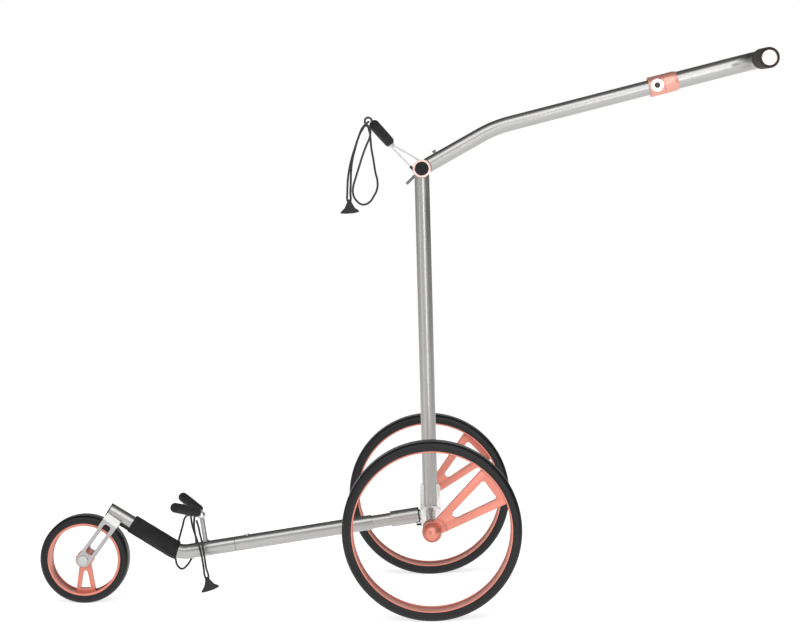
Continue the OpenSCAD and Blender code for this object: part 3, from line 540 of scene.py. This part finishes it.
def draw_tube(shape, stations, radius, sides=72, wall=0.0016, chamfer=0.0004, bore=0.02):
    """Pushes a ring of points through the stations; the first end is bored out bore metres deep."""
    layers = shape.verts.layers.float_vector
    grain = layers.get("drawn_straight") or layers.new("drawn_straight")
    first, last = stations[0], stations[-1]
    held = list(stations)
    if (held[1][0] - first[0]).length > 0.03:
        held.insert(1, (first[0] + first[1] * 0.012, first[1]))
    if (held[-2][0] - last[0]).length > 0.03:
        held.insert(-1, (last[0] - last[1] * 0.012, last[1]))
    marks = ([(first[0] + first[1] * bore, first[1], radius - wall), (first[0], first[1], radius - wall),
              (first[0], first[1], radius - chamfer), (first[0] + first[1] * chamfer, first[1], radius)]
             + [(at, way, radius) for at, way in held[1:-1]]
             + [(last[0] - last[1] * chamfer, last[1], radius), (last[0], last[1], radius - chamfer),
                (last[0], last[1], radius - wall), (last[0] - last[1] * 0.02, last[1], radius - wall)])
    facing = marks[0][1].to_track_quat("Z", "Y")
    loop = bmesh.ops.create_circle(shape, radius=1, segments=sides)["verts"]
    spokes = [v.co.copy() for v in loop]
    rings = []
    run, before, way_before = 0.0, marks[0][0], marks[0][1]
    edges = list({e for v in loop for e in v.link_edges})
    for number, (at, way, r) in enumerate(marks):
        if number:
            grown = bmesh.ops.extrude_edge_only(shape, edges=edges)["geom"]
            loop_new = [None] * sides
            fresh = {g for g in grown if isinstance(g, bmesh.types.BMVert)}
            for i, v in enumerate(loop):
                loop_new[i] = next(e.other_vert(v) for e in v.link_edges if e.other_vert(v) in fresh)
            edges = [g for g in grown if isinstance(g, bmesh.types.BMEdge)
                     and g.verts[0] in fresh and g.verts[1] in fresh]
            loop = loop_new
        facing = way_before.rotation_difference(way) @ facing
        run += (at - before).dot(way)
        before, way_before = at, way
        for v, spoke in zip(loop, spokes):
            v.co = at + facing @ (spoke * r)
            v[grain] = (run, spoke.x * r, spoke.y * r)
        rings.append(loop)
    return rings


def close_shape(shape):
    bmesh.ops.holes_fill(shape, edges=shape.edges)
    bmesh.ops.recalc_face_normals(shape, faces=shape.faces)


tube_r, bore_r, cope_r = 0.0127, 0.0111, 0.0154
upright_way = Vector((top_joint.x - left_axle.x, 0, top_joint.z - left_axle.z)).normalized()
axle_middle = Vector((left_axle.x, 0, left_axle.z))
upright_shape = bmesh.new()
upright_rings = draw_tube(upright_shape, [(axle_middle + upright_way * 0.007, upright_way),
                                          (top_joint - upright_way * 0.02, upright_way),
                                          (top_joint - upright_way * 0.012, upright_way)], tube_r)
for inset, ring in enumerate(upright_rings[-4:-1]):
    for v in ring:
        v.co.z = top_joint.z - sqrt(cope_r ** 2 - (v.co.x - top_joint.x) ** 2) - 0.0001 * (3 - inset)
for v in upright_rings[-1]:
    v.co.z = top_joint.z - 0.035
close_shape(upright_shape)
finish_mesh("upright_post", upright_shape, frame_brushed, "chassis", ("upright_tube",), 38)

seam_x, neck_x, corner_x = -341, -102, -438
lower_shape = bmesh.new()
draw_tube(lower_shape, [(on_lower(seam_x, 0, 0), ground_line), (on_lower(neck_x, 0, 0), ground_line)], tube_r)
close_shape(lower_shape)
finish_mesh("lower_straight_tube", lower_shape, frame_brushed, "lower_frame",
            ("lower_tube",), 38)

# The front tube bends up to the fork, and its thinner inner end runs back into the lower tube.
leg_rise, leg_length, leg_bend = 40.6, 0.142, 0.045
bend_corner = on_lower(corner_x, 0, 0)
leg_way = -ground_line * cos(radians(leg_rise)) + ground_up * sin(radians(leg_rise))
leg_top = bend_corner + leg_way * leg_length
front_shape = bmesh.new()
draw_tube(front_shape, bent_line(on_lower(seam_x - 0.3, 0, 0), bend_corner, leg_top, leg_bend), tube_r)
inner_end = [(on_lower(-279, 0, 0), -ground_line), (on_lower(-345, 0, 0), -ground_line)]
draw_tube(front_shape, inner_end, bore_r - 0.00005)
close_shape(front_shape)
finish_mesh("front_bent_tube", front_shape, frame_brushed, "lower_frame",
            ("front_tube",), 38)

# The handle is the same tube with one gentle bend; its root is coped round the knuckle.
root_rise, root_length, shaft_shown, shaft_inside, knee_bend = 28.3, 0.143, 0.272, 0.080, 0.200
root_way = Vector((cos(radians(root_rise)), 0, sin(radians(root_rise))))
knee = top_joint + root_way * root_length
shaft_end = knee + shaft_line * (shaft_shown + shaft_inside)
handle_shape = bmesh.new()
handle_line = bent_line(top_joint + root_way * 0.010, knee, shaft_end, knee_bend)
handle_rings = draw_tube(handle_shape, handle_line, tube_r)
knuckle_r, knuckle_gap = 0.0158, 0.0010
root_up = Vector((-root_way.z, 0, root_way.x))
for ring, out in zip(handle_rings[:4], (0.03, 0.0, 0.0, 0.0004)):
    for v in ring:
        lift = (v.co - top_joint).dot(root_up)
        along = sqrt(max(knuckle_r ** 2 - lift ** 2, 0)) + knuckle_gap + out
        v.co += root_way * (along - (v.co - top_joint).dot(root_way))
close_shape(handle_shape)
finish_mesh("handle_bent_tube", handle_shape, frame_brushed, "handle", ("handle_shaft",), 38)

# The grip tube slides over the shaft and turns a quarter circle to the cart's left side.
droop = Matrix.Rotation(radians(2), 3, shaft_line)
grip_side = droop @ Vector((0, -1, 0))
grip_reach, grip_arm, grip_bend, grip_r, shaft_room = 0.191, 0.124, 0.050, 0.0148, 0.108
grip_knuckle = collar_start + shaft_line * grip_reach
grip_end = grip_knuckle + grip_side * grip_arm
grip_line = bent_line(collar_start + shaft_line * 0.021, grip_knuckle, grip_end, grip_bend, 40)
grip_shape = bmesh.new()
draw_tube(grip_shape, grip_line, grip_r, wall=0.002, bore=shaft_room)
close_shape(grip_shape)
finish_mesh("grip_bent_tube", grip_shape, frame_brushed, "grip", ("grip_tube",), 38)

# Straight lengths whose CAD shape is right keep it and take the brushed finish.
line_tilt = asin(ground_line.z)
neck_brushed = brushed("neck_brushed", 0.42, 0.33, (0, line_tilt, 0))
for node in ("neck_tube", "hub_socket", "spigot", "cradle_post"):
    frame["nodes"][node].data.materials.clear()
    frame["nodes"][node].data.materials.append(neck_brushed)

# ---- Foam sleeve, cradle pads and grip ----------------------------------------------------
# Closed-cell foam tube: a sleeve on the raised front leg, and four pads on the cradle arms.
# The skin is matt and finely pitted, and it bulges a little between its moulded ends.
def foam(name, dark=(0.006, 0.006, 0.007), light=(0.017, 0.017, 0.018), pit=1100, bump=0.5):
    stuff = bpy.data.materials.new(name)
    stuff.use_nodes = True
    tree, made = stuff.node_tree, stuff.node_tree.nodes
    shader = made["Principled BSDF"]
    shader.inputs["Roughness"].default_value = 0.82
    shader.inputs["Specular IOR Level"].default_value = 0.3
    shader.inputs["Sheen Weight"].default_value = 0.06
    place = made.new("ShaderNodeTexCoord")
    cells = made.new("ShaderNodeTexVoronoi")
    cells.inputs["Scale"].default_value = pit
    cloud = made.new("ShaderNodeTexNoise")
    cloud.inputs["Scale"].default_value = 60
    tone = made.new("ShaderNodeValToRGB")
    tone.color_ramp.elements[0].position, tone.color_ramp.elements[0].color = 0.3, (*dark, 1)
    tone.color_ramp.elements[1].position, tone.color_ramp.elements[1].color = 0.75, (*light, 1)
    height = made.new("ShaderNodeBump")
    height.inputs["Strength"].default_value, height.inputs["Distance"].default_value = bump, 0.0004
    link_all(tree,
             (place.outputs["Object"], cells.inputs["Vector"]),
             (place.outputs["Object"], cloud.inputs["Vector"]),
             (cloud.outputs[0], tone.inputs[0]), (tone.outputs[0], shader.inputs["Base Color"]),
             (cells.outputs["Distance"], height.inputs["Height"]),
             (height.outputs[0], shader.inputs["Normal"]))
    return stuff


black_foam = foam("black_foam")
bend_start = on_lower(corner_x + 2 * leg_bend * 1000 * tan(radians(leg_rise / 2)), 0, 0)
sleeve_bend = bent_line(bend_start, bend_corner, leg_top - leg_way * 0.045, leg_bend, 40)
sleeve_line = sleeve_bend[26:-1] + [(sleeve_bend[-2][0].lerp(sleeve_bend[-1][0], i / 12), sleeve_bend[-1][1])
                                    for i in range(1, 13)]
sleeve_shape = bmesh.new()
sleeve_rings = draw_tube(sleeve_shape, sleeve_line, 0.016, 72, 0.0032, 0.0009, 0.02)
count = len(sleeve_rings)
for number, ring in enumerate(sleeve_rings[4:-4]):
    middle = sum((v.co for v in ring), Vector()) / len(ring)
    swell = 1 + 0.012 * sin(pi * number / (count - 9)) + 0.006 * sin(number * 1.9)
    for v in ring:
        v.co = middle + (v.co - middle) * swell
close_shape(sleeve_shape)
sleeve = finish_mesh("leg_foam_sleeve", sleeve_shape, black_foam, "lower_frame", ("foam_sleeve",), 50)


def spun_along(profile, steps, place, closed=False, merge=2e-5):
    """Spins a profile of (radius, along) in mm about Z and lays it where place says."""
    made = bmesh.new()
    corners = [made.verts.new((r / 1000, 0, z / 1000)) for r, z in profile]
    pairs = list(zip(corners, corners[1:])) + ([(corners[-1], corners[0])] if closed else [])
    lines = [made.edges.new(pair) for pair in pairs]
    bmesh.ops.spin(made, geom=corners + lines, cent=(0, 0, 0), axis=(0, 0, 1), angle=2 * pi, steps=steps,
                   use_merge=True)
    bmesh.ops.remove_doubles(made, verts=made.verts, dist=merge)
    if not closed:
        bmesh.ops.holes_fill(made, edges=made.edges)
    bmesh.ops.recalc_face_normals(made, faces=made.faces)
    bmesh.ops.transform(made, matrix=place, verts=made.verts)
    return made


def pad_on_arm(shape, start, finish, radius, arm_r):
    """A foam pad turned about its arm: square moulded root, faint waist, rounded outer end."""
    length = (finish - start).length
    full = radius * 1000
    profile = [(arm_r, 0), (full - 1.6, 0), (full - 0.5, 0.5), (full, 1.8), (full * 1.01, 8)]
    span = length * 1000
    profile += [(full * (1 + 0.015 * sin(pi * t / 6)), 8 + (span - 10) * t / 6) for t in range(1, 7)]
    profile += [(full * cos(radians(a)), span + full * sin(radians(a))) for a in range(9, 90, 9)]
    profile += [(0.01, span + full)]
    turn = (finish - start).to_track_quat("Z", "Y").to_matrix().to_4x4()
    pour_into(shape, spun_along(profile, 56, Matrix.Translation(start) @ turn))


for name, node, body, place, root, tip, share, arm_r in (
        ("upper_foam_pads", "upper_pads", "chassis", on_joint, (-50, 20, 42), (-78, 70, 74), 0.14, 2.5),
        ("lower_foam_pads", "lower_pads", "lower_frame", on_lower, (-392, 9, 64), (-425, 70, 86), 0.10, 3.5)):
    pads_shape = bmesh.new()
    for hand in (1, -1):
        inner, outer = [place(p[0], p[1] * hand, p[2]) for p in (root, tip)]
        pad_on_arm(pads_shape, inner.lerp(outer, share), outer, 0.0085, arm_r)
    pads = finish_mesh(name, pads_shape, black_foam, body, (node,), 50)

# The grip is a leather-look sleeve with shallow rings, closed by a pale satin end cap.
leather = foam("grip_leather", (0.010, 0.008, 0.008), (0.035, 0.028, 0.027), 800, 0.35)
sleeve_start = grip_knuckle + grip_side * 0.050
turn_grip = grip_side.to_track_quat("Z", "Y").to_matrix().to_4x4()
sleeve_place = Matrix.Translation(sleeve_start) @ turn_grip
ridges = [(14.8, 0), (17.0, 0), (17.5, 0.6)]
for i in range(14):
    ridges += [(17.5, 2.5 + i * 5), (17.15, 3.1 + i * 5), (17.15, 3.9 + i * 5), (17.5, 4.5 + i * 5)]
ridges += [(17.5, 73), (17.3, 74.4), (16.4, 75.6), (15.4, 76), (13.0, 75.6), (13.0, 73)]
grip_sleeve = spun_along(ridges, 72, sleeve_place, closed=True, merge=2e-6)
grip_cover = finish_mesh("grip_ringed_sleeve", grip_sleeve, leather, "grip",
                         ("grip_sleeve",), 60)

cap_line = [(12.7, 62), (12.95, 62.3), (12.95, 76.8), (12.6, 77.7), (11.6, 78.3), (10, 78.5), (0.01, 78.6)]
cap_shape = spun_along(cap_line, 72, sleeve_place)
pearl = anodised("pearl_cap", (0.86, 0.77, 0.75), 0.4)
finish_mesh("grip_pale_cap", cap_shape, pearl, "grip", ("grip_cap",), 40)

# ---- Collar, joint and hub castings -------------------------------------------------------
# Turned and cast parts: salmon collar with its push button, the two pale pink joint cheeks,
# the light hub bracket, and the black caps, rings and catch that go with them.
collar_salmon = anodised("collar_salmon", (0.72, 0.34, 0.275))
collar_piece = softened("clamp_collar", "collar", collar_salmon, "collar", 0.7)
# Painted highlight: the collar's round side boss gets a paler pinkish-white material. It stands in for the
# bright sheen the boss catches; the boss is not a paler part.
boss_painted_highlight = anodised("boss_painted_highlight", (0.86, 0.72, 0.69), 0.36)
collar_piece.data.materials.append(boss_painted_highlight)
# Collar faces on the boss side within 11.2 mm of the boss middle take the painted highlight material.
boss_middle = collar_start + shaft_line * 0.013
for face in collar_piece.data.polygons:
    reach = face.center - boss_middle
    if face.center.y < -0.0168 and Vector((reach.x, 0, reach.z)).length < 0.0112:
        face.material_index = 1
softened("collar_ring_nut", "collar_nut", collar_salmon, "collar", 0.6)
gloss_black = moulded("gloss_black", (0.004, 0.004, 0.005), (0.012, 0.012, 0.013), 0.16, 400, 0.03)
softened("collar_push_button", "collar_button", gloss_black, "collar_button", 0.9, 5)
cheek_pink = anodised("cheek_pink", (0.84, 0.60, 0.55), 0.36)
softened("left_joint_cheek", "joint_cheek_left", cheek_pink, "chassis", 0.8)
softened("right_joint_cheek", "joint_cheek_right", cheek_pink, "chassis", 0.8)
softened("joint_black_cap", "joint_cap", gloss_black, "chassis", 0.4)
satin_alloy = brushed("satin_alloy", 0.74, 0.32, (0, 0, 0))
softened("knuckle_block", "handle_knuckle", satin_alloy, "handle", 0.4)
softened("hub_plate", "hub_bracket", satin_alloy, "chassis", 0.7)
softened("fork_top_saddle", "fork_saddle", satin_alloy, "lower_frame", 1.0)
blade_brushed = brushed("blade_brushed", 0.44, 0.3, (0, 0, 0))
softened("left_fork_blade", "fork_leg_left", blade_brushed, "lower_frame", 0.6)
softened("right_fork_blade", "fork_leg_right", blade_brushed, "lower_frame", 0.6)
softened("lower_socket_ring", "socket_ring", black_nylon, "lower_frame", 0.4)
softened("socket_catch", "catch", black_nylon, "catch", 0.5)
softened("front_end_plug", "front_tube_plug", black_nylon, "lower_frame", 0.4)
softened("fork_rubber_strip", "fork_shim", black_nylon, "lower_frame", 0.3)
softened("stay_black_ends", "stay_ends", black_nylon, "chassis", 0.3)

# ---- Bolts, bearings, arms and springs ----------------------------------------------------
# Bright fasteners and wire: turned bolts and nuts, bearings, the cradle wires and arms. The
# turned ones get softened edges; the hidden ones, the wires and the arms keep their CAD shape.
bright_steel = brushed("bright_steel", 0.52, 0.25, (0, 0, 0))
dark_steel = brushed("dark_steel", 0.22, 0.36, (0, 0, 0))
wire_steel = brushed("wire_steel", 0.6, 0.4, (0, 0, 0))
softened("front_shoulder_bolt", "front_axle_bolt", bright_steel, "lower_frame", 0.7)
softened("front_round_nut", "front_axle_nut", bright_steel, "lower_frame", 0.6)
softened("clamp_lever", "joint_lever", dark_steel, "joint_lever", 0.5)
softened("joint_end_nut", "joint_nut", bright_steel, "chassis", 0.5)
softened("handle_stop_stud", "stop_stud", dark_steel, "handle", 0.3)
softened("tube_snap_button", "snap_button", bright_steel, "snap_button", 0.5)
for node, finish in (("left_bearings", bright_steel), ("right_bearings", bright_steel),
                     ("front_bearings", bright_steel), ("joint_bolt", bright_steel),
                     ("catch_pin", bright_steel), ("axle_beam", bright_steel),
                     ("upper_wires", wire_steel), ("lower_arms", satin_alloy), ("wire_ferrules", satin_alloy),
                     ("snap_spring", dark_steel)):
    frame["nodes"][node].data.materials.clear()
    frame["nodes"][node].data.materials.append(finish)
